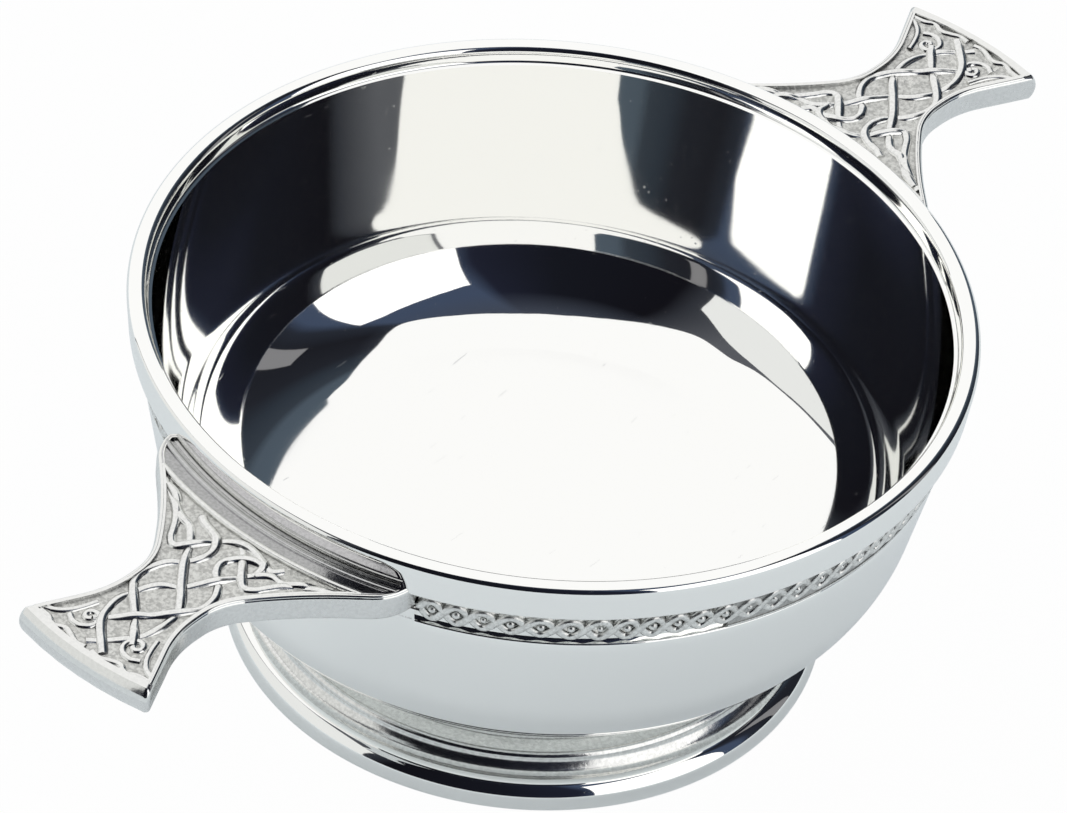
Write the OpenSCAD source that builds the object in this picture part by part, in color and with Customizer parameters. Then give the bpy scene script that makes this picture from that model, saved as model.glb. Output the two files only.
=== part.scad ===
// Quaich: a two-handled pewter drinking bowl on a foot ring, in millimetres, +Z up.
// The origin is on the table, under the middle of the bowl. The lugs lie along X.

/* [Bowl] */
// Outside diameter at the rim
rim_d = 100; // [80:1:140]
// Height of the rim above the table
bowl_h = 47.6; // [44:0.2:60]
// Width of the rim's top face
rim_w = 2.3; // [1.8:0.1:3.5]
// Rounding of the rim's edges
rim_edge = 0.8; // [0.4:0.1:0.9]
// Height of the sloping lip inside the rim
lip_h = 2.1; // [1.2:0.1:3]
// How far the lip slopes inwards
lip_in = 0.7; // [0.3:0.1:1.2]
// Lean of the inner wall from upright just below the lip, in degrees
lip_lean = 2.2; // [1:0.2:6]
// Height of the plain collar below the rim
collar_h = 4.75; // [4.2:0.05:6]
// How far the collar stands out from the body below it
collar_step = 0.75; // [0.4:0.05:1.2]
// How far the collar leans in towards its lower edge
collar_lean = 0.4; // [0.1:0.1:0.8]
// Thickness of the body at the shoulder and the floor
wall = 1.3; // [1.1:0.1:2]
// Lean of the body's wall from upright, in degrees
wall_lean = 11.2; // [6:0.2:14]
// Outside radius of the shoulder between the wall and the floor
shoulder_r = 17; // [13:0.5:19]
// Slope of the floor where it meets the shoulder, in degrees
floor_slope = 12.4; // [9:0.2:15]
// Height of the bowl's underside above the table, at the middle
belly_z = 8.3; // [7:0.1:11]

/* [Knotwork bands] */
// Width of the strip of knotwork under the collar
band_w = 5.4; // [3.5:0.1:7]
// Thickness of the strip
band_t = 0.5; // [0.4:0.05:0.7]
// How deep the strip's ground lies below its edge lines
band_relief = 0.25; // [0.15:0.05:0.3]
// Width of each edge line
band_edge = 0.6; // [0.4:0.05:0.9]
// Clearance around the strip in its groove
band_gap = 0.05; // [0.02:0.01:0.1]
// Plain metal between a lug's wing and the end of a strip
band_end = 0.25; // [0.15:0.05:3]

/* [Foot ring] */
// Outside diameter of the bead at the table
foot_d = 72.3; // [64:0.1:78]
// Radius of the bead's rounding
bead_r = 2.5; // [1.8:0.1:2.8]
// Radius of the hollow cove that the bead runs up into
cove_r = 2; // [1.4:0.1:2.4]
// Rounding of the edge above the cove
step_r = 0.75; // [0.4:0.05:1]
// Width of the flat on top of that edge
step_w = 1.7; // [0.4:0.1:2.5]
// Radius of the small hollow between that flat and the neck
quirk_r = 0.75; // [0.4:0.05:1]
// Thickness of the neck
neck_t = 2.5; // [2:0.1:3.5]
// Width of the flat ring that rests on the table
rest_w = 3.2; // [2:0.1:4.5]
// Height of the turned step under the bowl that the neck is soldered to
seat_h = 0.3; // [0.1:0.1:0.8]

/* [Lugs] */
// Length of a lug from the rim outwards
lug_l = 30.3; // [22:0.1:40]
// Thickness of a lug
lug_t = 3.7; // [2.6:0.1:4.4]
// How far a lug's top face lies above the collar's lower edge
lug_lap = 0.85; // [0.4:0.05:1.5]
// Half the angle that a lug's root takes up around the rim, in degrees
wing_angle = 22.3; // [18:0.1:26]
// Width of a lug at its waist
waist_w = 10.8; // [8:0.1:14]
// Distance of the waist from the rim
waist_l = 16.5; // [13:0.1:20]
// Length of the straight part of the waist
waist_flat = 1; // [0.2:0.1:3]
// Radius of the flare from the waist towards the root
root_flare = 9; // [5:0.5:11]
// Angle that this flare turns through, in degrees
root_turn = 35; // [28:1:40]
// Radius of the wider flare from there to the wing
wing_flare = 60; // [40:5:120]
// Radius of the flare from the waist to the tip
tip_flare = 14; // [8:0.5:16]
// Width of a lug at its tip
tip_w = 19.4; // [16:0.1:24]
// How far the tip's edge bows out
tip_bow = 1.1; // [0.4:0.1:2]
// How far the tip's side swells out at half its height
tip_swell = 0.8; // [0.2:0.1:1.2]

/* [Lug panels] */
// Width of the raised border along the flanks and the tip
border_w = 1; // [0.6:0.05:1.4]
// Width of the plain border along the root
root_border = 3; // [2.4:0.1:4]
// Depth of the panel below the border
panel_depth = 0.4; // [0.2:0.05:0.8]
// Width of a strand of the knotwork
strand_w = 0.9; // [0.6:0.05:1.1]
// Length in which a strand of the plait crosses the waist and comes back
plait_l = 24; // [18:1:32]
// Clear space where a strand passes under another
strand_gap = 0.3; // [0.15:0.05:0.5]
// Reach of the three-lobed knot in each wing
wing_knot = 2.8; // [2:0.1:3.2]
// Turn of that knot, in degrees
wing_knot_turn = 203; // [180:1:230]
// Outside diameter of the ring in each corner of the tip
corner_ring = 2.8; // [2:0.1:3]

/* [Solder] */
// Thickness of the solder between two pieces
solder_t = 0.15; // [0.08:0.01:0.3]
// Size of the solder fillet on top of a lug's root
fillet = 1.1; // [0.5:0.1:1.6]

/* [Hidden] */
$fn = 96;

pewter = [0.80, 0.80, 0.81];
antique = [0.55, 0.55, 0.56];
solder = [0.68, 0.69, 0.70];

// Steps that a quarter turn of an arc is drawn in
arc_steps = 24;
// Depth that a raised strand or a cut runs into the metal beside it
bond = 0.2;

rim_r = rim_d / 2;
collar_z = bowl_h - collar_h;
collar_r = rim_r - collar_lean;
band_z = collar_z - band_w;

// Wall: a leaning line that ends under the collar
wall_top_r = collar_r - collar_step;
function wall_r(z) = wall_top_r - (collar_z - z) * tan(wall_lean);

// Shoulder: a circle that touches the wall's line and the dished floor
floor_k = tan(floor_slope / 2);
shoulder_off = wall_r(0) - shoulder_r / cos(wall_lean);
shoulder_z = (belly_z + shoulder_r + floor_k * shoulder_off) / (1 - floor_k * tan(wall_lean));
shoulder_x = shoulder_off + shoulder_z * tan(wall_lean);
shoulder_c = [shoulder_x, shoulder_z];

// Floor: a wide circle about the bowl's axis, level in the middle
floor_r = (shoulder_x + shoulder_r * sin(floor_slope)) / sin(floor_slope);
floor_c = [0, belly_z + floor_r];

// Height of the bowl's underside at radius r, on the floor or on the shoulder
function under_z(r) = r < floor_r * sin(floor_slope)
    ? floor_c[1] - sqrt(floor_r^2 - r^2)
    : shoulder_z - sqrt(shoulder_r^2 - (r - shoulder_x)^2);

// Inside of the wall: an arc from the lip that touches the shoulder's inner circle
lip = [rim_r - rim_w - lip_in, bowl_h - lip_h];
lip_side = [-cos(lip_lean), sin(lip_lean)];
lip_dir = lip - shoulder_c;
inner_r = shoulder_r - wall;
side_r = (inner_r^2 - lip_dir * lip_dir) / (2 * (lip_dir * lip_side + inner_r));
side_c = lip + side_r * lip_side;
inner_turn = turn_of(shoulder_c - side_c);

// Foot: bead, cove, round step, small hollow and neck, from the table up
bead_from = -30;
bead_to = 78;
cove_end = 15;
bead_c = [foot_d / 2 - bead_r, -bead_r * sin(bead_from)];
cove_c = bead_c + (bead_r + cove_r) * [cos(bead_to), sin(bead_to)];
cove_top = cove_c - cove_r * [cos(cove_end), sin(cove_end)];
step_c = cove_top - [step_r, 0];
quirk_c = step_c + [-step_w, step_r + quirk_r];
neck_r = quirk_c[0] - quirk_r;
neck_in = neck_r - neck_t;
seat_z = under_z(neck_in) - seat_h;
foot_top = seat_z - solder_t;
rest_in = bead_c[0] + bead_r * cos(bead_from) - rest_w;
// Height of the upright inner edge at the table
rest_h = 1;

// Lugs: heights, then the points that the outline turns on
lug_top = collar_z + lug_lap;
lug_low = lug_top - lug_t;
tip_x = rim_r + lug_l;
waist_x = rim_r + waist_l;
corner = [tip_x - tip_bow, tip_w / 2];
root_c = [waist_x - waist_flat / 2, waist_w / 2 + root_flare];
tip_c = [waist_x + waist_flat / 2, waist_w / 2 + tip_flare];
tip_dir = tip_c - corner;
// Angle of the straight flank beside the tip from the lug's length
tip_turn = atan2(tip_dir[1], tip_dir[0]) + asin(tip_flare / norm(tip_dir)) - 180;
panel_r = rim_r + root_border;

// Wing: its flare carries on from the root's, and ends on a line that points at the bowl's axis
wing_dir = [cos(wing_angle), sin(wing_angle)];
wing_c = root_c - (wing_flare - root_flare) * [-sin(root_turn), -cos(root_turn)];
function wing_at(inset) = let (run = wing_dir * wing_c)
    wing_dir * (run - sqrt(run^2 - wing_c * wing_c + (wing_flare + inset)^2));

// Bands: the angle that each lug's plain seat takes up, and the rest for the strips
seat_half = wing_angle + degrees_round(band_end);
band_turn = 180 - 2 * seat_half;

// Angle that a length takes up around the bowl's wall
function degrees_round(length) = 360 * length / (2 * PI * wall_top_r);

function arc(c, r, a0, a1) =
    let (n = max(2, ceil(abs(a1 - a0) * arc_steps / 90)))
    [for (i = [0 : n]) let (a = a0 + (a1 - a0) * i / n) c + r * [cos(a), sin(a)]];
function turn_of(v) = atan2(v[1], v[0]);
function flipped(p) = [for (i = [len(p) - 1 : -1 : 0]) [p[i][0], -p[i][1]]];

// A flat strip of the given width along a row of points
function along(p, i) = let (d = p[min(i + 1, len(p) - 1)] - p[max(i - 1, 0)]) d / norm(d);
function beside(p, i, w) = let (d = along(p, i)) p[i] + w / 2 * [-d[1], d[0]];
function ribbon(p, w) = concat([for (i = [0 : len(p) - 1]) beside(p, i, w)],
                               [for (i = [len(p) - 1 : -1 : 0]) beside(p, i, -w)]);

// Outlines of the bowl's outside and of the space in it, each closed along the axis
function bowl_outside() = concat(
    [[0, bowl_h]],
    arc(floor_c, floor_r, -90, -90 + floor_slope),
    arc(shoulder_c, shoulder_r, -90 + floor_slope, -wall_lean),
    [[wall_top_r, collar_z], [collar_r, collar_z]],
    arc([rim_r - rim_edge, bowl_h - rim_edge], rim_edge, 0, 90));
function bowl_inside() = concat(
    [[0, bowl_h + bond], [rim_r - rim_w + rim_edge, bowl_h + bond]],
    arc([rim_r - rim_w + rim_edge, bowl_h - rim_edge], rim_edge, 90, 180),
    arc(side_c, side_r, -lip_lean, inner_turn),
    arc(shoulder_c, inner_r, inner_turn, -90 + floor_slope),
    arc(floor_c, floor_r - wall, -90 + floor_slope, -90));

// Section of a groove or strip that lies in the wall, from deep to out below its surface
function wall_strip(low, high, deep, out) = [
    [wall_r(low) - deep, low], [wall_r(low) - out, low],
    [wall_r(high) - out, high], [wall_r(high) - deep, high]];

module band_sector(gap_angle) {
    rotate([0, 0, seat_half + gap_angle]) rotate_extrude(angle = band_turn - 2 * gap_angle) children();
}

module bowl() {
    color(pewter) difference() {
        rotate_extrude() difference() {
            union() {
                polygon(bowl_outside());
                translate([neck_in, seat_z]) square([neck_t, shoulder_z - seat_z]);
            }
            polygon(bowl_inside());
        }
        for (side = [0, 180]) rotate([0, 0, side])
            band_sector(0) polygon(wall_strip(band_z, collar_z, band_t + band_gap, -bond));
    }
}

module band() {
    low = band_z + band_gap;
    high = collar_z - band_gap;
    color(antique) band_sector(degrees_round(band_gap)) {
        polygon(wall_strip(low, high, band_t, band_relief));
        polygon(wall_strip(low, low + band_edge, band_t, 0));
        polygon(wall_strip(high - band_edge, high, band_t, 0));
    }
}

module front_band() {
    rotate([0, 0, 180]) band();
}

module back_band() {
    band();
}

module foot_ring() {
    color(pewter) rotate_extrude() polygon(concat(
        [[rest_in, 0]],
        arc(bead_c, bead_r, bead_from, bead_to),
        arc(cove_c, cove_r, 180 + bead_to, 180 + cove_end),
        arc(step_c, step_r, 0, 90),
        arc(quirk_c, quirk_r, 270, 180),
        [[neck_r, foot_top], [neck_in, foot_top], [neck_in, step_c[1]], [rest_in, rest_h]]));
}

module foot_solder() {
    color(solder) translate([0, 0, foot_top]) difference() {
        cylinder(h = solder_t, r = neck_r);
        translate([0, 0, -bond]) cylinder(h = solder_t + 2 * bond, r = neck_in);
    }
}

// Half of a lug's outline, moved in by an inset, from the middle of the tip to the bowl's axis
function lug_corner(inset) =
    corner + inset * [sin(tip_turn), -cos(tip_turn)]
    - inset * (1 + sin(tip_turn)) / cos(tip_turn) * [cos(tip_turn), sin(tip_turn)];
function lug_side(inset) = let (wing = wing_at(inset)) concat(
    arc(tip_c, tip_flare + inset, -90 + tip_turn, -90),
    arc(root_c, root_flare + inset, -90, -90 - root_turn),
    arc(wing_c, wing_flare + inset, -90 - root_turn, turn_of(wing - wing_c)),
    [[0, 0]]);
function lug_half(inset) =
    let (k = lug_corner(inset),
         bow_r = (k[1]^2 + tip_bow^2) / (2 * tip_bow))
    concat(arc([tip_x - inset - bow_r, 0], bow_r, 0, asin(k[1] / bow_r)), lug_side(inset));
function lug_outline(inset) = concat(lug_half(inset), flipped(lug_half(inset)));

// The same outline with its flanks run on past the tip, for the rounded nose to cut
nose_run = 2 * tip_swell / cos(tip_turn) + tip_bow;
function lug_long() =
    let (half = concat([corner + nose_run * [cos(tip_turn), sin(tip_turn)]], lug_side(0)))
    concat(half, flipped(half));

// Rounded nose: the tip's bowed edge, swelling out at half the lug's height
bow_r = (corner[1]^2 + tip_bow^2) / (2 * tip_bow);
nose_r = (lug_t^2 / 4 + tip_swell^2) / (2 * tip_swell);
nose_turn = asin(lug_t / 2 / nose_r);
module nose() {
    translate([tip_x - bow_r, 0, lug_low]) rotate_extrude() polygon(concat(
        [[0, lug_t], [0, 0]], arc([bow_r + tip_swell - nose_r, lug_t / 2], nose_r, -nose_turn, nose_turn)));
}

// Section through the wall and collar behind a lug, moved out by a gap
function seat_section(gap) = [
    [0, lug_low - bond], [wall_r(lug_low - bond) + gap, lug_low - bond],
    [wall_r(collar_z - gap) + gap, collar_z - gap], [collar_r + gap, collar_z - gap],
    [collar_r + gap, collar_z], [rim_r + gap, bowl_h - rim_edge], [0, bowl_h - rim_edge]];
function collar_at(z) = collar_r + collar_lean * (z - collar_z) / (collar_h - rim_edge);

// Four strands that weave along the waist: each goes under at three places in every turn
plait_half = waist_w / 2 - border_w - strand_w / 2;
plait_from = panel_r - bond;
plait_to = tip_x - border_w - tip_bow / 4;
under_turn = 360 * (strand_w / 2 + strand_gap) / plait_l;
function plait_x(turn, strand) = waist_x + (turn - 90 * strand) * plait_l / 360;
function plait_at(x, strand) = [x, plait_half * cos(360 * (x - waist_x) / plait_l + 90 * strand)];

module plait() {
    for (strand = [0 : 3], cycle = [-2 : 2], span = [[90, 225], [225, 315], [315, 450]]) {
        from = max(plait_from, plait_x(span[0] + 360 * cycle + under_turn, strand));
        to = min(plait_to, plait_x(span[1] + 360 * cycle - under_turn, strand));
        steps = max(2, ceil((to - from) * 1.5));
        if (to - from > strand_w)
            polygon(ribbon(
                [for (i = [0 : steps]) plait_at(from + (to - from) * i / steps, strand)], strand_w));
    }
}

// Three-lobed knot of one strand, whose lobes reach a distance from its middle
trefoil_under = 135.5;
// Degrees of its turn in which the strand runs the length of its reach, at a crossing
trefoil_pace = 40;
function trefoil_at(t, reach) = reach / 3 * [sin(t) + 2 * sin(2 * t), cos(t) - 2 * cos(2 * t)];

module trefoil(reach, width) {
    skip = (width / 2 + strand_gap) * trefoil_pace / reach;
    for (lobe = [0 : 2]) {
        from = trefoil_under + 120 * lobe + skip;
        to = trefoil_under + 120 * (lobe + 1) - skip;
        polygon(ribbon([for (i = [0 : 16]) trefoil_at(from + (to - from) * i / 16, reach)], width));
    }
}

thin_strand = strand_w - 0.2;
wing_knot_at = [panel_r + wing_knot / 2, plait_half + wing_knot];
corner_ring_at = [tip_x - border_w - tip_bow - corner_ring / 2, plait_half + (strand_w + corner_ring) / 2];

module panel_knots() {
    plait();
    for (side = [0, 1]) mirror([0, side, 0]) {
        translate(wing_knot_at) rotate(wing_knot_turn) trefoil(wing_knot - thin_strand / 2, thin_strand);
        translate(corner_ring_at) difference() {
            circle(d = corner_ring);
            circle(d = corner_ring - 2 * thin_strand);
        }
    }
}

module panel() {
    difference() {
        polygon(lug_outline(border_w));
        circle(r = panel_r);
    }
}

module lug() {
    color(antique) {
        difference() {
            intersection() {
                translate([0, 0, lug_low]) linear_extrude(lug_t) polygon(lug_long());
                nose();
            }
            rotate_extrude() polygon(seat_section(solder_t));
            translate([0, 0, lug_top - panel_depth]) linear_extrude(panel_depth + bond) panel();
        }
        translate([0, 0, lug_top - panel_depth - bond]) linear_extrude(panel_depth + bond) intersection() {
            polygon(lug_outline(border_w - bond));
            panel_knots();
        }
    }
}

module lug_solder() {
    edge = collar_at(lug_top);
    color(solder) intersection() {
        translate([0, 0, lug_low]) linear_extrude(lug_t + fillet) polygon(lug_outline(0));
        rotate_extrude() difference() {
            union() {
                intersection() {
                    polygon(seat_section(solder_t));
                    square([rim_r + fillet, lug_top]);
                }
                polygon(concat(
                    [[collar_r, lug_top]], arc([edge + fillet, lug_top + fillet], fillet, 270, 180)));
            }
            polygon(seat_section(0));
        }
    }
}

module left_lug() {
    rotate([0, 0, 180]) lug();
}

module left_lug_solder() {
    rotate([0, 0, 180]) lug_solder();
}

module right_lug() {
    lug();
}

module right_lug_solder() {
    lug_solder();
}

bowl();
foot_ring();
foot_solder();
left_lug();
left_lug_solder();
right_lug();
right_lug_solder();
front_band();
back_band();
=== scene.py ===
# %% [markdown]
# # A pewter quaich
# A quaich is a shallow drinking bowl with two flat handles, called lugs. This one is pewter: a spun
# bowl with a thick rim, a cast foot ring, two cast lugs with knotwork, and a strip of knotwork on
# each side below the rim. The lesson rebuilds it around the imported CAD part, which is in metres with
# +Z up, so every size below can be written in millimetres and multiplied by MM once.

import math

import bpy
from mathutils import Matrix, Vector


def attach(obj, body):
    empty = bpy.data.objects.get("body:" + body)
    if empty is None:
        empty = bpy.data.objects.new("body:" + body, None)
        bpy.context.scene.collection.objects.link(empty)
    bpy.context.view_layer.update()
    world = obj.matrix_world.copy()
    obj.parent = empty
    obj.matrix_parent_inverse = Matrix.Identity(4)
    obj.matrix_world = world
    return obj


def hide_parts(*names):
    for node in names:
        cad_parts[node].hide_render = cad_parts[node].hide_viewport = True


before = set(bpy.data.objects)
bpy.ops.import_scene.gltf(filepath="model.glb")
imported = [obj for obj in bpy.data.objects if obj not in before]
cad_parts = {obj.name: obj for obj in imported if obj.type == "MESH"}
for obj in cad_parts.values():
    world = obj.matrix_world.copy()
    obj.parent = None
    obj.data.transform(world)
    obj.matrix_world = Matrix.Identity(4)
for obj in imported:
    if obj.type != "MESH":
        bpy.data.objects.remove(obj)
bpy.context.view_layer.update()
MM = 0.001

# %% [markdown]
# ## The camera
# A product photo of a small bowl is taken from well back with a long lens, so the far rim looks
# almost as wide as the near one. The camera could be placed by eye and nudged, but here its compass
# direction, height, roll and distance are named values, and its three axes are worked out from them.
# The roll is real: in the picture the line through the lugs is tilted more than the view explains.

# %% Camera
CAMERA_AZIMUTH, CAMERA_ELEVATION, CAMERA_ROLL = -53.149, 40.677, 6.309
CAMERA_DISTANCE, CAMERA_LENS, SENSOR = 943.643, 268.68, 36.0
AIM_HEIGHT, AIM_RIGHT, AIM_UP = 25.0, -0.679, 4.958

turn, tilt, roll = (math.radians(a) for a in (CAMERA_AZIMUTH, CAMERA_ELEVATION, CAMERA_ROLL))
backward = Vector((math.sin(turn) * math.cos(tilt), -math.cos(turn) * math.cos(tilt), math.sin(tilt)))
level = Vector((math.cos(turn), math.sin(turn), 0))
upright = backward.cross(level)
camera_right = level * math.cos(roll) + upright * math.sin(roll)
camera_up = upright * math.cos(roll) - level * math.sin(roll)
aim = Vector((0, 0, AIM_HEIGHT)) + camera_right * AIM_RIGHT + camera_up * AIM_UP

bpy.ops.object.select_all(action="DESELECT")
bpy.ops.object.camera_add()
camera = bpy.context.object
camera.data.sensor_width = SENSOR
camera.data.lens = CAMERA_LENS
camera.data.clip_start, camera.data.clip_end = 0.01, 20
axes = Matrix((camera_right, camera_up, backward)).transposed().to_4x4()
camera.matrix_world = Matrix.Translation((aim + backward * CAMERA_DISTANCE) * MM) @ axes
bpy.context.scene.camera = camera
print("camera at", [round(v, 3) for v in camera.matrix_world.translation])

# %% [markdown]
# ## Helpers for nodes
# Every finish below is a handful of shader nodes. Two short helpers keep that readable: one adds a
# node and sets its values, the other joins an output to an input.

# %% Node helpers
def add_node(tree, kind, inputs=None, **settings):
    node = tree.nodes.new("ShaderNode" + kind)
    for key, value in settings.items():
        setattr(node, key, value)
    for key, value in (inputs or {}).items():
        node.inputs[key].default_value = value
    return node


def join(tree, output, target):
    tree.links.new(output, target)


def math_node(tree, operation, first, second=None):
    node = add_node(tree, "Math", operation=operation)
    for socket, value in zip(node.inputs, (first, second)):
        if isinstance(value, (int, float)):
            socket.default_value = value
        elif value is not None:
            join(tree, value, socket)
    return node.outputs[0]


def ramp_node(tree, factor, stops, interpolation="LINEAR"):
    node = add_node(tree, "ValToRGB")
    node.color_ramp.interpolation = interpolation
    points = node.color_ramp.elements
    while len(points) < len(stops):
        points.new(1.0)
    for point, (place, colour) in zip(points, stops):
        point.position = place
        point.color = colour if len(colour) == 4 else (*colour, 1)
    join(tree, factor, node.inputs[0])
    return node.outputs[0]


def new_material(name):
    made = bpy.data.materials.new(name)
    made.use_nodes = True
    tree = made.node_tree
    tree.nodes.clear()
    output = add_node(tree, "OutputMaterial")
    return made, tree, output


print("node helpers ready")

# %% [markdown]
# ## The studio
# Polished metal has no look of its own: it shows what stands around it. This bowl stood in a white
# light tent, so the world is white at strength 1, at which a colour renders about as it is written.
# The tent's front is open towards the camera, and the dark room in that opening is what draws the
# bowl's shape. A white softbox stands in the opening on the right and a pale one on the left. The
# opening could be painted into the world, but as large curved cards it can be moved by hand, like
# the real thing. The camera doesn't see the cards, only the metal does.

# %% White tent
scene = bpy.context.scene
scene.view_settings.view_transform = "Standard"
world = bpy.data.worlds.new("white_tent")
scene.world = world
world.use_nodes = True
tent = world.node_tree.nodes["Background"]
tent.inputs["Color"].default_value = (1, 1, 1, 1)
tent.inputs["Strength"].default_value = 1.0
print("white tent at strength", tent.inputs["Strength"].default_value)

# %% Curved cards
CARD_RADIUS = 4.0
CARD_COLUMNS, CARD_ROWS = 200, 40
OPENING_SIDES = (-158.5, 121.0)


def between(points, x):
    """The height at x on a line drawn through points."""
    for (x0, y0), (x1, y1) in zip(points, points[1:]):
        if x <= x1:
            return y0 + (y1 - y0) * max(0.0, x - x0) / (x1 - x0)
    return points[-1][1]


def rounded(points, x, reach=2.5):
    """The same line with its corners rounded off, because a kink would show in the metal."""
    return sum(between(points, x + reach * i / 4) for i in range(-4, 5)) / 9


def curved_card(name, left, right, top, radius, colour_of):
    """A grid bent round the bowl. Left and right give the edge's compass angle at each height."""
    bpy.ops.object.select_all(action="DESELECT")
    bpy.ops.mesh.primitive_grid_add(x_subdivisions=CARD_COLUMNS, y_subdivisions=CARD_ROWS, size=2)
    card = bpy.context.object
    card.name = name
    for vertex in card.data.vertices:
        across, up = (vertex.co.x + 1) / 2, (vertex.co.y + 1) / 2
        guess = left[0][1] + (right[0][1] - left[0][1]) * across
        height = up * rounded(top, guess)
        side_a, side_b = rounded(left, height), rounded(right, height)
        compass = side_a + (side_b - side_a) * across
        heading = math.radians(CAMERA_AZIMUTH - compass)
        lift = math.radians(height)
        vertex.co = radius * Vector((math.sin(heading) * math.cos(lift),
                                     -math.cos(heading) * math.cos(lift), math.sin(lift)))
    card.visible_camera = False
    card.data.materials.append(colour_of)
    return card


def glowing(name, colour, strength=1.0):
    made, tree, output = new_material(name)
    glow = add_node(tree, "Emission", {"Color": (*colour, 1), "Strength": strength})
    join(tree, glow.outputs[0], output.inputs["Surface"])
    return made, tree, glow


print("cards stand", CARD_RADIUS, "m away")

# %% Dark opening of the tent
opening_dark, tree, glow = glowing("dark_room", (0.02, 0.02, 0.03))
place = add_node(tree, "UVMap")
split = add_node(tree, "SeparateXYZ")
join(tree, place.outputs[0], split.inputs[0])


def opening_share(compass):
    return (compass - OPENING_SIDES[0]) / (OPENING_SIDES[1] - OPENING_SIDES[0])


BLUE = (0.05, 0.07, 0.12)
side_to_side = ramp_node(tree, split.outputs["X"], [(opening_share(a), c) for a, c in (
    (-158, (0.075, 0.1, 0.13)), (-147, (0.07, 0.093, 0.122)), (-141, (0.035, 0.045, 0.06)),
    (-130, (0.026, 0.034, 0.047)), (-120, (0.016, 0.018, 0.025)), (-100, (0.012, 0.013, 0.018)),
    (-89, (0.02, 0.024, 0.035)), (-84, BLUE), (-33, BLUE), (-25, (0.013, 0.015, 0.028)),
    (0, (0.008, 0.009, 0.014)), (40, (0.006, 0.006, 0.009)), (47, (0.03, 0.033, 0.042)),
    (70, (0.10, 0.105, 0.12)))])
top_share = ramp_node(tree, split.outputs["Y"], [(0.66, (0, 0, 0)), (0.9, (1, 1, 1))])
shade = add_node(tree, "Mix", data_type="RGBA")
join(tree, top_share, shade.inputs["Factor"])
join(tree, side_to_side, shade.inputs["A"])
shade.inputs["B"].default_value = (0.055, 0.065, 0.09, 1)
join(tree, shade.outputs["Result"], glow.inputs["Color"])

OPENING_TOP = [(-158, 50.5), (-156, 53.8), (-153, 55.8), (-150, 57), (-145, 58.6), (-140, 60), (-130, 62.2),
               (-120, 63.7), (-110, 64.1), (-100, 63.8), (-90, 63.6), (-85, 64.3), (-80, 66.8), (-70, 72),
               (-60, 74.8), (-50, 76.9), (-40, 78.3), (-25, 79), (0, 78.6), (10, 78), (20, 76.2), (30, 74),
               (40, 69.6), (50, 62.8), (55, 59.2), (60, 55.6), (64, 54), (70, 53.6), (76, 53.4), (80, 52.8),
               (82, 51.4), (84, 48.6), (90, 44.9), (95, 42.7), (100, 39.4), (105, 35.7), (110, 31.6),
               (115, 26), (121, 17)]
OPENING_LEFT = [(0, OPENING_SIDES[0]), (20, -162.5), (32, -163.5), (40, -161.6), (46, -159.8), (52, -158.8),
                (60, -157.5), (90, -157)]
opening = curved_card("tent_opening", OPENING_LEFT,
                      [(0, OPENING_SIDES[1]), (90, OPENING_SIDES[1])], OPENING_TOP, CARD_RADIUS,
                      opening_dark)
uv = opening.data.uv_layers.active.data
for polygon in opening.data.polygons:
    for index in polygon.loop_indices:
        uv[index].uv.y = math.asin(opening.data.vertices[opening.data.loops[index].vertex_index].co.z
                                   / CARD_RADIUS) / math.radians(90)
print(opening.name, len(opening.data.polygons), "faces")

# %% Softboxes in the opening
SOFTBOX_RADIUS = 3.8
right_light = glowing("right_softbox_cloth", (1.0, 1.0, 1.0), 1.3)[0]
left_light = glowing("left_softbox_cloth", (0.82, 0.83, 0.82))[0]
side_light = glowing("side_panel_cloth", (0.22, 0.22, 0.23))[0]
right_softbox = curved_card(
    "right_softbox", [(0, -78), (22, -79.5), (36, -82), (46, -84), (52, -86)],
    [(0, -31), (25, -31.5), (40, -32.5), (56, -34)],
    [(-86, 48), (-80, 51.6), (-75, 53.8), (-70, 55), (-60, 55), (-50, 54.5), (-40, 53), (-32, 50.5)],
    SOFTBOX_RADIUS, right_light)
left_softbox = curved_card(
    "left_softbox", [(0, 48), (34, 48.5), (42, 53)], [(0, 120), (26, 120)],
    [(48, 34), (51, 38), (55, 41.5), (60, 44.2), (66, 45.7), (72, 46.2), (80, 45.4), (90, 43), (95, 40.3),
     (100, 37.2), (105, 33.7), (110, 29), (116, 21), (120, 14)], SOFTBOX_RADIUS, left_light)
side_panel = curved_card("side_panel", [(0, -110), (90, -110)], [(0, -101), (90, -101)],
                         [(-110, 41), (-101, 43)], SOFTBOX_RADIUS, side_light)
print("softboxes:", right_softbox.name, left_softbox.name, side_panel.name)

# %% [markdown]
# ## The floor
# The bowl stands on a plain white sheet. To the camera the sheet is meant to be white with a soft
# shadow, so its material mixes plain white paper with a glow of strength 1. Light Path says which
# rays get the glow: those from the camera, and those that bounce off polished metal or through
# glass, so that the metal shows a pale floor too. Close to the bowl the glow that the metal sees is
# weaker, a painted shadow of the bowl. Lamps aren't turned up for it, and the shadow stays.

# %% White sheet
FLOOR_RADIUS = 4.5
PAPER, PALE_FLOOR = (0.86, 0.9, 0.93), (0.9, 0.97, 1.0)
CAMERA_GLOW, NEAR_GLOW, FAR_GLOW = 0.98, 0.28, 0.45
bpy.ops.object.select_all(action="DESELECT")
bpy.ops.mesh.primitive_circle_add(vertices=128, radius=FLOOR_RADIUS, fill_type="NGON")
floor = bpy.context.object
floor.name = "white_sheet"
paper, tree, output = new_material("white_paper")
rays = add_node(tree, "LightPath")
metal_rays = math_node(tree, "ADD", rays.outputs["Is Glossy Ray"], rays.outputs["Is Transmission Ray"])


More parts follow.
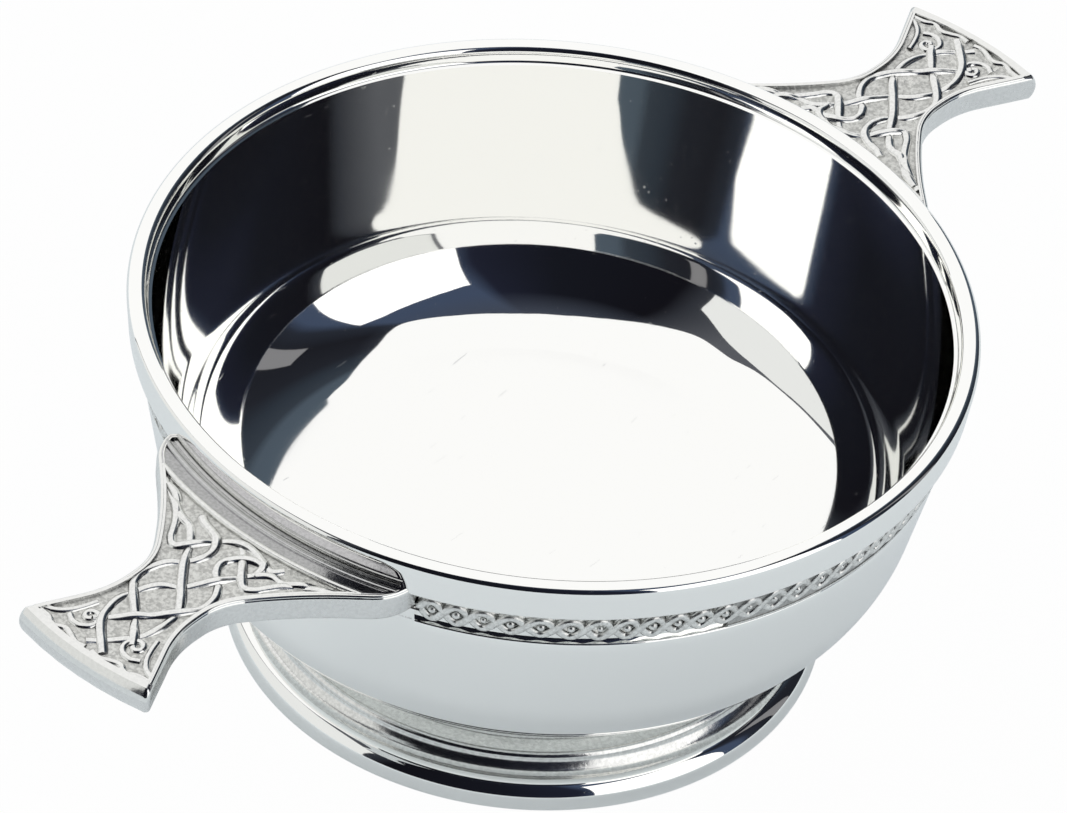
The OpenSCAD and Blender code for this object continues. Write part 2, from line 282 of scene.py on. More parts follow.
def glow_over(shader, share, colour):
    """A glow of strength 1 mixed over a shader."""
    glow = add_node(tree, "Emission", {"Color": (*colour, 1), "Strength": 1.0})
    mixed = add_node(tree, "MixShader")
    join(tree, share, mixed.inputs[0])
    join(tree, shader.outputs[0], mixed.inputs[1])
    join(tree, glow.outputs[0], mixed.inputs[2])
    return mixed


sheet = add_node(tree, "BsdfDiffuse", {"Color": (*PAPER, 1)})
away = add_node(tree, "VectorMath", operation="LENGTH")
join(tree, add_node(tree, "TexCoord").outputs["Object"], away.inputs[0])
# Painted shadow: the glow the metal sees is NEAR_GLOW close to the bowl and FAR_GLOW further out.
metal_glow_painted_shadow = add_node(tree, "MapRange", {"From Min": 0.045, "From Max": 0.07, "To Min": NEAR_GLOW,
                                         "To Max": FAR_GLOW})
join(tree, away.outputs["Value"], metal_glow_painted_shadow.inputs["Value"])
sheet = glow_over(sheet, math_node(tree, "MULTIPLY", metal_rays, metal_glow_painted_shadow.outputs[0]), PALE_FLOOR)
sheet = glow_over(sheet, math_node(tree, "MULTIPLY", rays.outputs["Is Camera Ray"], CAMERA_GLOW), (1, 1, 1))
join(tree, sheet.outputs[0], output.inputs["Surface"])
floor.data.materials.append(paper)
print("floor", FLOOR_RADIUS * 2, "m across")

# %% [markdown]
# ## Polished pewter
# The bowl and the foot are turned on a lathe and buffed to a mirror. A perfect mirror looks like
# computer chrome, so three faint things are added: turning lines that run round the bowl, soft
# patches where a cloth has wiped it, and a few short scratches from use. All of them read Object
# coordinates, so they stay on the metal from every side.

# %% Polished pewter
POLISHED = (0.965, 0.964, 0.945, 1)


def round_coordinates(tree, along):
    """Coordinates that follow the lathe: radius, height, and a little of the angle."""
    place = add_node(tree, "TexCoord")
    split = add_node(tree, "SeparateXYZ")
    join(tree, place.outputs["Object"], split.inputs[0])
    x, y, z = split.outputs
    radius = math_node(tree, "SQRT", math_node(tree, "ADD", math_node(tree, "MULTIPLY", x, x),
                                               math_node(tree, "MULTIPLY", y, y)))
    angle = math_node(tree, "ARCTAN2", y, x)
    joined = add_node(tree, "CombineXYZ")
    join(tree, radius, joined.inputs[0])
    join(tree, z, joined.inputs[1])
    join(tree, math_node(tree, "MULTIPLY", angle, along), joined.inputs[2])
    return place.outputs["Object"], joined.outputs[0]


def scratches(tree, coordinates, turned, size):
    """Short thin strokes in one direction."""
    stretch = add_node(tree, "Mapping", {"Rotation": (0, 0, math.radians(turned)),
                                         "Scale": (1 / (9 * size), 1 / size, 1 / size)})
    join(tree, coordinates, stretch.inputs["Vector"])
    noise = add_node(tree, "TexNoise", {"Scale": 1.0, "Detail": 0.0})
    join(tree, stretch.outputs[0], noise.inputs["Vector"])
    return ramp_node(tree, noise.outputs[0], [(0.83, (0, 0, 0)), (0.86, (1, 1, 1))])


polished_pewter, tree, output = new_material("polished_pewter")
metal = add_node(tree, "BsdfPrincipled", {"Base Color": POLISHED, "Metallic": 1.0})
plain, lathe = round_coordinates(tree, 0.003)
lines = add_node(tree, "TexNoise", {"Scale": 3500.0, "Detail": 2.0})
join(tree, lathe, lines.inputs["Vector"])
wiped = add_node(tree, "TexNoise", {"Scale": 70.0, "Detail": 3.0})
join(tree, plain, wiped.inputs["Vector"])
marks = math_node(tree, "ADD", scratches(tree, plain, 18, 0.0004), scratches(tree, plain, -40, 0.0005))
soft = add_node(tree, "MapRange", {"From Min": 0.3, "From Max": 0.7, "To Min": 0.028, "To Max": 0.045})
join(tree, wiped.outputs[0], soft.inputs["Value"])
join(tree, math_node(tree, "ADD", soft.outputs[0], math_node(tree, "MULTIPLY", marks, 0.1)),
     metal.inputs["Roughness"])
relief = add_node(tree, "Bump", {"Strength": 0.015, "Distance": 0.00002})
join(tree, lines.outputs[0], relief.inputs["Height"])
join(tree, relief.outputs[0], metal.inputs["Normal"])
join(tree, metal.outputs[0], output.inputs["Surface"])
print(polished_pewter.name, len(tree.nodes), "nodes")

# %% [markdown]
# ## Cast pewter
# The lugs and the strips are cast in a mould and only lightly polished. Their raised strands are
# bright, and the ground between them is matt and stippled. Their corners are darkened by an Ambient
# Occlusion node that looks a fraction of a millimetre into them: this is painted shade, and partly
# the dirt that years of polishing leave there. It follows whatever is modelled. A painted mask could
# do the same, but it would have to be redone after every change to the knot.

# %% Cast pewter
CAST_GROUND, CAST_BRIGHT, PANEL_GROUND = (0.83, 0.83, 0.81, 1), (0.86, 0.86, 0.84, 1), (0.74, 0.74, 0.71, 1)
BAND_GROUND, BAND_BRIGHT, SOLDER_GREY = (0.5, 0.5, 0.49, 1), (0.84, 0.84, 0.82, 1), (0.6, 0.6, 0.6, 1)
DIRT_AND_SHADE, BLACK_DIRT_AND_SHADE = (0.3, 0.3, 0.29, 1), (0.1, 0.1, 0.1, 1)


def cast_pewter(name, colour, roughness, stipple, mottle, shade_and_dirt, reach, shade_and_dirt_until):
    made, tree, output = new_material(name)
    metal = add_node(tree, "BsdfPrincipled", {"Metallic": 1.0})
    place = add_node(tree, "TexCoord").outputs["Object"]
    grain = add_node(tree, "TexNoise", {"Scale": 2300.0, "Detail": 3.0, "Roughness": 0.55})
    patches = add_node(tree, "TexNoise", {"Scale": 420.0, "Detail": 2.0})
    for noise in (grain, patches):
        join(tree, place, noise.inputs["Vector"])
    # Painted shade, partly dirt: the colour turns dark wherever the Ambient Occlusion node finds a corner
    # close by.
    corners = add_node(tree, "AmbientOcclusion", {"Distance": reach}, samples=12, only_local=True)
    tint = add_node(tree, "Mix", data_type="RGBA", blend_type="MULTIPLY")
    tint.inputs["Factor"].default_value = mottle
    join(tree, ramp_node(tree, corners.outputs["AO"], [(0.25, shade_and_dirt), (shade_and_dirt_until, colour)]), tint.inputs["A"])
    join(tree, ramp_node(tree, grain.outputs[0], [(0.38, (0.55, 0.55, 0.55)), (0.6, (1, 1, 1))]),
         tint.inputs["B"])
    join(tree, tint.outputs["Result"], metal.inputs["Base Color"])
    dull = add_node(tree, "MapRange", {"From Min": 0.3, "From Max": 0.7,
                                       "To Min": roughness * 0.8, "To Max": roughness * 1.25})
    join(tree, patches.outputs[0], dull.inputs["Value"])
    join(tree, dull.outputs[0], metal.inputs["Roughness"])
    relief = add_node(tree, "Bump", {"Strength": stipple, "Distance": 0.00012})
    join(tree, grain.outputs[0], relief.inputs["Height"])
    join(tree, relief.outputs[0], metal.inputs["Normal"])
    join(tree, metal.outputs[0], output.inputs["Surface"])
    print(name, len(tree.nodes), "nodes")
    return made


# The last three values of each finish set its painted shade in corners: the dark colour, how far it looks,
# and where it fades out.
stippled_ground = cast_pewter("stippled_ground", PANEL_GROUND, 0.32, 0.7, 0.8, DIRT_AND_SHADE, 0.0005, 0.85)
band_ground = cast_pewter("band_ground", BAND_GROUND, 0.34, 0.5, 0.6, BLACK_DIRT_AND_SHADE, 0.0005, 0.8)
band_strands = cast_pewter("band_strands", BAND_BRIGHT, 0.28, 0.2, 0.5, DIRT_AND_SHADE, 0.0004, 0.7)
bright_strands = cast_pewter("bright_strands", CAST_BRIGHT, 0.16, 0.06, 0.2, DIRT_AND_SHADE, 0.0003, 0.55)
cast_side = cast_pewter("cast_side", (0.8, 0.8, 0.79, 1), 0.26, 0.03, 0.15, DIRT_AND_SHADE, 0.0004, 0.5)
# Painted shade: the lug's sloping root gets a darker, slightly bluish copy of the cast finish.
root_satin_painted_shade = cast_pewter("root_satin_painted_shade", (0.58, 0.575, 0.59, 1), 0.14, 0.06, 0.35, DIRT_AND_SHADE, 0.0012, 0.85)
satin_border = cast_pewter("satin_border", CAST_BRIGHT, 0.1, 0.02, 0.1, BLACK_DIRT_AND_SHADE, 0.0005, 0.75)
turned_hollow = cast_pewter("turned_hollow", CAST_GROUND, 0.15, 0.08, 0.3, DIRT_AND_SHADE, 0.0004, 0.6)
solder_seam = cast_pewter("solder_seam", SOLDER_GREY, 0.2, 0.1, 0.2, BLACK_DIRT_AND_SHADE, 0.0006, 0.95)

# %% [markdown]
# ## Drawing and spinning
# Everything round on this bowl was turned, so in Blender it is drawn as half a section and spun. By
# hand you would add a plane, merge it to one vertex, and extrude that vertex from corner to corner.
# The helper does exactly that. Arcs are rows of short edges, close enough for a mirror finish.

# %% Drawing helpers
def arc(centre, radius, start, end, step=3.0):
    """Points on an arc about a centre, in degrees from +X."""
    count = max(2, math.ceil(abs(end - start) / step))
    angles = (math.radians(start + (end - start) * i / count) for i in range(count + 1))
    return [(centre[0] + radius * math.cos(a), centre[1] + radius * math.sin(a)) for a in angles]


def straight(first, last, pieces):
    """Points on a straight line, without its first one."""
    return [tuple(a + (b - a) * i / pieces for a, b in zip(first, last)) for i in range(1, pieces + 1)]


def eased(before, at, after, radius):
    """Points of a small arc in place of a corner."""
    before, at, after = Vector(before), Vector(at), Vector(after)
    one, two = (before - at).normalized(), (after - at).normalized()
    half = one.angle(two) / 2
    middle = at + (one + two).normalized() * (radius / math.sin(half))
    reach = radius / math.tan(half)
    first, last = at + one * reach - middle, at + two * reach - middle
    return [tuple(middle + first.lerp(last, i / 8).normalized() * radius) for i in range(9)]


def without_repeats(points):
    kept = [points[0]]
    for point in points[1:]:
        if math.dist(point, kept[-1]) > 1e-4:
            kept.append(point)
    return kept


def drawn_line(name, points):
    """A new object in edit mode with one line of vertices through points, in millimetres."""
    bpy.ops.object.select_all(action="DESELECT")
    bpy.ops.mesh.primitive_plane_add(size=MM, location=(0, 0, 0))
    line = bpy.context.object
    line.name = line.data.name = name
    bpy.ops.object.mode_set(mode="EDIT")
    bpy.ops.mesh.select_mode(type="VERT")
    bpy.ops.mesh.merge(type="CENTER")
    spots = [Vector(p) * MM for p in points]
    bpy.ops.transform.translate(value=spots[0])
    for here, there in zip(spots, spots[1:]):
        bpy.ops.mesh.extrude_region_move(TRANSFORM_OT_translate={"value": there - here})
    bpy.ops.mesh.select_all(action="SELECT")
    return line


def spun(name, section, turns, start=0.0, closed=True):
    """A section of (radius, height) points spun about the axis, turn by turn."""
    angle = math.radians(start)
    spots = [(r * math.cos(angle), r * math.sin(angle), z) for r, z in without_repeats(section)]
    piece = drawn_line(name, spots)
    if closed:
        bpy.ops.mesh.edge_face_add()
        bpy.ops.mesh.delete(type="ONLY_FACE")
        bpy.ops.mesh.select_all(action="SELECT")
    for degrees, steps in turns:
        bpy.ops.mesh.spin(steps=steps, angle=math.radians(degrees), center=(0, 0, 0), axis=(0, 0, 1))
    bpy.ops.mesh.select_all(action="SELECT")
    bpy.ops.mesh.remove_doubles(threshold=0.002 * MM)
    bpy.ops.mesh.normals_make_consistent(inside=False)
    return piece


def finished(piece, node, materials, sharp=32):
    """Shade a piece, give it its finish, and let it stand for its CAD node."""
    if bpy.context.mode != "OBJECT":
        bpy.ops.object.mode_set(mode="OBJECT")
    bpy.ops.object.select_all(action="DESELECT")
    piece.select_set(True)
    bpy.context.view_layer.objects.active = piece
    bpy.ops.object.shade_smooth_by_angle(angle=math.radians(sharp))
    if not piece.data.materials:
        for material in materials:
            piece.data.materials.append(material)
    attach(piece, "root")
    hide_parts(node)
    piece.data.calc_loop_triangles()
    print(piece.name, "stands for", node, "with", len(piece.data.loop_triangles), "triangles")
    return piece


print("drawing helpers ready")

# %% [markdown]
# ## The bowl's sizes
# The outside is a leaning wall, a round shoulder and a dished floor. The inside isn't quite parallel
# to it: just below the lip the wall is nearly upright, and it curves in more and more towards the
# shoulder. That curve matters, because the mirror inside shows it at once: with a straight wall the
# reflected softbox would have the wrong shape. Each arc touches the next, so no line shows between.

# %% Bowl sizes
RIM_R, BOWL_H, RIM_W, RIM_EDGE = 50.0, 47.6, 2.3, 0.8
LIP_H, LIP_IN, LIP_LEAN = 2.1, 0.7, 2.2
COLLAR_H, COLLAR_STEP, COLLAR_LEAN = 4.75, 0.75, 0.4
WALL, WALL_LEAN, SHOULDER_R, FLOOR_SLOPE, BELLY_Z = 1.3, 11.2, 17.0, 12.4, 8.3

collar_z = BOWL_H - COLLAR_H
collar_r = RIM_R - COLLAR_LEAN
wall_top_r = collar_r - COLLAR_STEP
lean = math.tan(math.radians(WALL_LEAN))


def wall_r(z):
    return wall_top_r - (collar_z - z) * lean


floor_k = math.tan(math.radians(FLOOR_SLOPE) / 2)
shoulder_off = wall_r(0) - SHOULDER_R / math.cos(math.radians(WALL_LEAN))
shoulder_z = (BELLY_Z + SHOULDER_R + floor_k * shoulder_off) / (1 - floor_k * lean)
shoulder = (shoulder_off + shoulder_z * lean, shoulder_z)
slope_sine = math.sin(math.radians(FLOOR_SLOPE))
floor_r = (shoulder[0] + SHOULDER_R * slope_sine) / slope_sine
floor_centre = (0, BELLY_Z + floor_r)

lip = (RIM_R - RIM_W - LIP_IN, BOWL_H - LIP_H)
inner_r = SHOULDER_R - WALL
reach = (lip[0] - shoulder[0], lip[1] - shoulder[1])
lip_normal = (-math.cos(math.radians(LIP_LEAN)), math.sin(math.radians(LIP_LEAN)))
side_r = (inner_r ** 2 - reach[0] ** 2 - reach[1] ** 2) / (
    2 * (reach[0] * lip_normal[0] + reach[1] * lip_normal[1] + inner_r))
side_centre = (lip[0] + side_r * lip_normal[0], lip[1] + side_r * lip_normal[1])
wall_foot = math.degrees(math.atan2(shoulder[1] - side_centre[1], shoulder[0] - side_centre[0]))


def under_z(r):
    return floor_centre[1] - math.sqrt(floor_r ** 2 - r ** 2)


print("inner wall curve", round(side_r, 1), "mm, leaning", round(-wall_foot, 1), "degrees at its foot")

# %% [markdown]
# ## The foot's sizes
# The foot ring is a classic moulding: a bead at the table runs up into a hollow cove, above it come a
# rounded step and a small hollow, and then the neck. Each arc touches the next, so the middle of one
# gives the middle of the next. They are worked out before the bowl, because the neck's width decides
# where the bowl gets its turned seat.

# %% Foot sizes
FOOT_D, BEAD_R, COVE_R, STEP_R, STEP_W, QUIRK_R = 72.3, 2.5, 2.0, 0.75, 1.7, 0.75
NECK_T, REST_W, REST_H, SEAT_H, SOLDER_T = 2.5, 3.2, 1.0, 0.3, 0.15
BEAD_FROM, BEAD_TO, COVE_END = -30, 78, 15


def polar(length, degrees):
    return length * Vector((math.cos(math.radians(degrees)), math.sin(math.radians(degrees))))


bead = Vector((FOOT_D / 2 - BEAD_R, -polar(BEAD_R, BEAD_FROM).y))
cove = bead + polar(BEAD_R + COVE_R, BEAD_TO)
step = cove - polar(COVE_R, COVE_END) - Vector((STEP_R, 0))
quirk = step + Vector((-STEP_W, STEP_R + QUIRK_R))
neck_r = quirk.x - QUIRK_R
neck_in = neck_r - NECK_T
seat_z = under_z(neck_in) - SEAT_H
foot_top = seat_z - SOLDER_T
rest_in = bead.x + polar(BEAD_R, BEAD_FROM).x - REST_W
print("neck", round(2 * neck_r, 1), "mm wide, foot", round(foot_top, 1), "mm high")

# %% [markdown]
# ## The bowl
# The section runs from the middle of the underside, up the outside, over the rim and down the inside
# back to the middle. Just inside the rim the lip ends in a tiny ledge, which shows as a thin dark line on
# the far side. The section is spun in four turns, to put edges where the strips of knotwork begin and
# end. A spin runs clockwise as seen from above, so from this start two of the four ends get an edge of
# their own, and the other two lie on the nearest edge, about 0.3 mm away. Then the faces between the
# ends are pushed in to make the grooves.

# %% Bowl
BAND_W, BAND_T, BAND_GAP = 5.4, 0.5, 0.05
WING_ANGLE, BAND_END = 21.7, 0.25
COLLAR_ROUND, GROOVE_ROUND, LEDGE, LEDGE_ROUND = 0.2, 0.28, (47.48, 45.66), 0.4
SEAT_STEPS, BAND_STEPS = 36, 92
band_z = collar_z - BAND_W
SEAT_HALF = WING_ANGLE + math.degrees(BAND_END / wall_top_r)
band_turn = 180 - 2 * SEAT_HALF
slope_angle = -90 + FLOOR_SLOPE

outside = arc(floor_centre, floor_r, -90, -90 + math.degrees(math.asin(neck_in / floor_r)), 0.6)
outside += [(neck_in, seat_z), (neck_r, seat_z), (neck_r, under_z(neck_r))]
outside += arc(shoulder, SHOULDER_R, slope_angle, -WALL_LEAN, 2.0)
wall_line = [outside[-1], (wall_r(band_z), band_z), (wall_top_r, collar_z)]
outside += straight(wall_line[0], wall_line[1], 8) + straight(wall_line[1], wall_line[2], 1)
outside += arc((collar_r - COLLAR_ROUND, collar_z + COLLAR_ROUND), COLLAR_ROUND, -90, 0, 18)
outside += straight(outside[-1], (RIM_R, BOWL_H - RIM_EDGE), 4)
outside += arc((RIM_R - RIM_EDGE, BOWL_H - RIM_EDGE), RIM_EDGE, 0, 90, 9)
inside = arc((RIM_R - RIM_W + RIM_EDGE, BOWL_H - RIM_EDGE), RIM_EDGE, 90, 180, 9)
inside += eased(inside[-1], LEDGE, lip, LEDGE_ROUND) + [lip]
inside += arc(side_centre, side_r, -LIP_LEAN, wall_foot, 0.5)
inside += arc(shoulder, inner_r, wall_foot, slope_angle, 1.5)
inside += arc(floor_centre, floor_r - WALL, slope_angle, -90, 0.4)

turns = [(2 * SEAT_HALF, SEAT_STEPS), (band_turn, BAND_STEPS)] * 2
bowl = spun("bowl_polished", outside + inside, turns, start=-SEAT_HALF, closed=False)


def in_groove(spot, spare=0.0):
    """Whether a place in millimetres lies between the two ends of a strip."""
    compass = abs(math.degrees(math.atan2(spot.y, spot.x)))
    return SEAT_HALF - spare < compass < 180 - SEAT_HALF + spare


bpy.ops.mesh.select_mode(type="FACE")
bpy.ops.mesh.select_all(action="DESELECT")
bpy.ops.object.mode_set(mode="OBJECT")
for face in bowl.data.polygons:
    spot = face.center / MM
    face.select = (band_z < spot.z < collar_z and math.hypot(spot.x, spot.y) > wall_r(spot.z) - 0.2
                   and in_groove(spot))
bpy.ops.object.mode_set(mode="EDIT")
bpy.ops.mesh.extrude_region_shrink_fatten(
    TRANSFORM_OT_shrink_fatten={"value": -(BAND_T + BAND_GAP) * MM, "use_even_offset": True})
print("grooves cut", BAND_T + BAND_GAP, "mm deep")

# %% Rounded lower edge of the grooves
bpy.ops.mesh.select_mode(type="EDGE")
bpy.ops.mesh.select_all(action="DESELECT")
bpy.ops.object.mode_set(mode="OBJECT")
for edge in bowl.data.edges:
    ends = [bowl.data.vertices[i].co / MM for i in edge.vertices]
    edge.select = all(abs(spot.z - band_z) < 0.01 and math.hypot(spot.x, spot.y) > wall_r(band_z) - 0.05
                      and in_groove(spot, 0.1) for spot in ends)
bpy.ops.object.mode_set(mode="EDIT")
bpy.ops.mesh.bevel(offset=GROOVE_ROUND * MM, segments=4, affect="EDGES")
finished(bowl, "bowl", [polished_pewter])

# %% [markdown]
# ## The foot ring
# A turner would cut this moulding with one shaped tool. Its section is closed, because the ring is
# hollow underneath, and it is spun in one full turn. The crease between the cove and the step is kept
# sharp, because in polished metal it shows as a fine dark line. A buffing wheel reaches the bead but not
# the hollows, so those keep a satin, slightly speckled face.

# %% Foot ring
foot_section = [(rest_in, 0)] + arc(bead, BEAD_R, BEAD_FROM, BEAD_TO)
foot_section += arc(cove, COVE_R, 180 + BEAD_TO, 180 + COVE_END)
foot_section += arc(step, STEP_R, 0, 90, 5) + arc(quirk, QUIRK_R, 270, 180, 5)
foot_section += [(neck_r, foot_top), (neck_in, foot_top), (neck_in, step.y), (rest_in, REST_H)]
foot = spun("foot_ring_polished", foot_section, [(360, 256)])
bpy.ops.object.mode_set(mode="OBJECT")
for material in (polished_pewter, turned_hollow):
    foot.data.materials.append(material)
for face in foot.data.polygons:
    spot = face.center / MM
    if cove.y - COVE_R - 0.01 < spot.z < quirk.y + 0.1 and math.hypot(spot.x, spot.y) > neck_r - 0.05:
        face.material_index = 1
finished(foot, "foot_ring", [], sharp=12)

# %% [markdown]
# ## Solder under the bowl
# Soft solder runs into the joint between the foot and the bowl and dries with a slightly rounded
# edge. It is a thin spun ring whose outer edge bulges a little.

# %% Foot solder
seam = [(neck_in, foot_top), (neck_r - 0.1, foot_top)]
seam += arc((neck_r - 0.02, foot_top + SOLDER_T / 2), SOLDER_T / 2, -60, 60, 20)
seam += [(neck_r - 0.1, seat_z), (neck_in, seat_z)]
foot_seam = spun("foot_solder_seam", seam, [(360, 128)])
finished(foot_seam, "foot_solder", [solder_seam])

# %% [markdown]
# ## The lug's outline
# Seen from above, a lug is wide where it meets the bowl, narrows to a waist, and flares to a fan-like
# tip with a slightly bowed edge. Half of the outline is drawn from two flank arcs, two straight
# flanks and the bow of the tip, and mirrored. The end of each wing is rounded off beside the bowl. The
# same line moved inwards gives the knotwork panel.

# %% Lug outline
LUG_L, LUG_T, LUG_LAP = 30.3, 3.7, 0.85
WAIST_W, WAIST_L, WAIST_FLAT = 10.8, 16.5, 1.0
ROOT_FLARE, ROOT_TURN, WING_FLARE, TIP_FLARE = 9.0, 35.0, 60.0, 14.0
TIP_W, TIP_BOW, TIP_SWELL, WING_Y, WING_ROUND, ROOT_R = 19.4, 1.1, 0.8, 18.5, 6.5, 48.0
lug_top = collar_z + LUG_LAP
lug_low = lug_top - LUG_T
tip_x, waist_x = RIM_R + LUG_L, RIM_R + WAIST_L
corner = Vector((tip_x - TIP_BOW, TIP_W / 2))
root_c = Vector((waist_x - WAIST_FLAT / 2, WAIST_W / 2 + ROOT_FLARE))
tip_c = Vector((waist_x + WAIST_FLAT / 2, WAIST_W / 2 + TIP_FLARE))
tip_dir = tip_c - corner
tip_turn = math.degrees(math.atan2(tip_dir.y, tip_dir.x) + math.asin(TIP_FLARE / tip_dir.length)) - 180
wing_c = root_c + polar(WING_FLARE - ROOT_FLARE, 90 - ROOT_TURN)


def bow_radius(half_width):
    return (half_width ** 2 + TIP_BOW ** 2) / (2 * TIP_BOW)


def lug_side(inset):
    """One flank from the tip's flare to the rounded end of the wing."""
    radius, end_y = WING_FLARE + inset, WING_Y - inset
    wing = Vector((wing_c.x - math.sqrt(radius ** 2 - (wing_c.y - end_y) ** 2), end_y))
    last = math.degrees(math.atan2(wing.y - wing_c.y, wing.x - wing_c.x))
    flank = (arc(tip_c, TIP_FLARE + inset, -90 + tip_turn, -90)
             + arc(root_c, ROOT_FLARE + inset, -90, -90 - ROOT_TURN)
             + arc(wing_c, WING_FLARE + inset, -90 - ROOT_TURN, last, 1.0))
    bend = eased(flank[-2], wing, (0, end_y), WING_ROUND - inset)
    return [spot for spot in flank if math.dist(spot, wing) > math.dist(bend[0], wing) + 0.4] + bend


def lug_root(inset):
    """The end of the root, an arc inside the bowl's wall."""
    end = math.degrees(math.asin((WING_Y - inset) / ROOT_R))
    return arc((0, 0), ROOT_R, end, 0)


def lug_corner(inset):
    back = (1 + math.sin(math.radians(tip_turn))) / math.cos(math.radians(tip_turn))
    return corner + polar(inset, tip_turn - 90) - polar(inset * back, tip_turn)


def lug_tip(inset):
    """The bowed edge of the tip, from its middle to one corner."""
    k = lug_corner(inset)
    bow = bow_radius(k.y)
    return arc((tip_x - inset - bow, 0), bow, 0, math.degrees(math.asin(k.y / bow)))


def mirrored(half):
    """A whole outline from its half with positive Y."""
    half = without_repeats(half)
    return half + [(x, -y) for x, y in reversed(half) if y > 1e-4]


def prism(name, outline, low, high):
    """A flat outline extruded from one height to another."""
    block = drawn_line(name, [(x, y, low) for x, y in outline])
    bpy.ops.mesh.edge_face_add()
    bpy.ops.mesh.select_all(action="SELECT")
    bpy.ops.mesh.extrude_region_move(TRANSFORM_OT_translate={"value": (0, 0, (high - low) * MM)})
    bpy.ops.mesh.select_all(action="SELECT")
    bpy.ops.mesh.normals_make_consistent(inside=False)
    bpy.ops.object.mode_set(mode="OBJECT")
    return block


def lug_outline(inset):
    return mirrored(lug_tip(inset) + lug_side(inset) + lug_root(inset))


print("lug outline of", len(lug_outline(0)), "points,", round(tip_x - RIM_R, 1), "mm long")

# %% [markdown]
# ## The lug's body
# The plate is the outline pulled up to its thickness, with the flanks run on past the tip. A wide
# spun disc with a round edge then trims the tip, so its side swells out a little, as on the casting.
# The root runs on into the bowl's wall, where the solder holds it. The edges are rounded before the other
# cuts, because a bevel gets into trouble beside small steps. After that the panel is sunk into the top.

# %% Lug body
EDGE_ROUND = 0.7


def cut(piece, tool, operation="DIFFERENCE"):
    """Cut a piece with a tool, and drop the empty material slot that the cut leaves behind."""
    modifier = piece.modifiers.new("cut", "BOOLEAN")
    modifier.operation = operation
    modifier.solver = "MANIFOLD"
    modifier.object = tool
    bpy.ops.object.select_all(action="DESELECT")
    bpy.context.view_layer.objects.active = piece
    piece.select_set(True)
    bpy.ops.object.modifier_apply(modifier=modifier.name)
    piece.data.materials.clear()
    bpy.data.objects.remove(tool)


nose_run = 2 * TIP_SWELL / math.cos(math.radians(tip_turn)) + TIP_BOW
long_half = [tuple(corner + polar(nose_run, tip_turn))] + lug_side(0) + lug_root(0)
lug = prism("right_lug_cast", mirrored(long_half), lug_low - 1, lug_top + 1)

bow_r = bow_radius(corner.y)
nose_r = (LUG_T ** 2 / 4 + TIP_SWELL ** 2) / (2 * TIP_SWELL)
nose_turn = math.degrees(math.asin(LUG_T / 2 / nose_r))
nose_section = [(0, lug_low)] + arc((bow_r + TIP_SWELL - nose_r, lug_low + LUG_T / 2), nose_r,
                                    -nose_turn, nose_turn, 10) + [(0, lug_top)]
nose = spun("nose_tool", nose_section, [(360, 90)], closed=False)
bpy.ops.transform.translate(value=((tip_x - bow_r) * MM, 0, 0))
bpy.ops.object.mode_set(mode="OBJECT")
cut(lug, nose, "INTERSECT")

rounding = lug.modifiers.new("rounding", "BEVEL")
rounding.width, rounding.segments = EDGE_ROUND * MM, 8
rounding.limit_method, rounding.angle_limit = "ANGLE", math.radians(60)
rounding.use_clamp_overlap = False
bpy.ops.object.modifier_apply(modifier=rounding.name)
print("lug plate", len(lug.data.polygons), "faces")

# %% Root and panel of the lug
PANEL_DEPTH, ROOT_DEPTH, RIDGE_R, BORDER = 0.45, 0.45, 52.7, 0.85
panel_z = lug_top - PANEL_DEPTH


def turned_tool(name, section):
    tool = spun(name, section, [(360, 256)], closed=False)
    bpy.ops.object.mode_set(mode="OBJECT")
    return tool


root_tool = turned_tool("root_tool", [(0, lug_top - ROOT_DEPTH), (collar_r, lug_top - ROOT_DEPTH),
                                      (RIDGE_R, lug_top - 0.05), (RIDGE_R, lug_top + 1), (0, lug_top + 1)])
cut(root_tool, prism("root_limit", lug_outline(BORDER), lug_low, lug_top + 2), "INTERSECT")
cut(lug, root_tool)
panel_tool = prism("panel_tool", lug_outline(BORDER), panel_z, lug_top + 1)
cut(panel_tool, turned_tool("ridge_tool", [(0, lug_low), (RIDGE_R, lug_low), (RIDGE_R, lug_top + 2),
                                           (0, lug_top + 2)]))
cut(lug, panel_tool)
LUG_FINISHES = (satin_border, stippled_ground, bright_strands, cast_side, root_satin_painted_shade)
for material in LUG_FINISHES:
    lug.data.materials.append(material)
for face in lug.data.polygons:
    spot = face.center / MM
    if math.hypot(spot.x, spot.y) < RIDGE_R and 0.95 < face.normal.z < 0.9999:
        face.material_index = 4
    elif face.normal.z > 0.9 and abs(spot.z - panel_z) < 0.05:
        face.material_index = 1
    elif face.normal.z < 0.2:
        face.material_index = 3
nearest = min(math.hypot(v.co.x, v.co.y) for v in lug.data.vertices) / MM
for index, material in enumerate(LUG_FINISHES):
    print(material.name, sum(face.material_index == index for face in lug.data.polygons), "faces")
print("lug body", len(lug.data.polygons), "faces, starts", round(nearest, 2), "mm from the axis")

# %% [markdown]
# ## Knotwork on the lug
# The panel is filled with interlaced strands. Four of them plait along the waist, two turn in the
# wings beside the bowl, and small curls fill the corners of the tip. Each strand is a curve through
# a few points: its place along the lug, its place across, and a lift that is 1 where it passes over
# another strand and -1 where it passes under. A round bevel gives the curve its thickness. Most of it is
# sunk below the panel's floor, so what shows is the low, broad back of a strand that was carved in the
# mould.

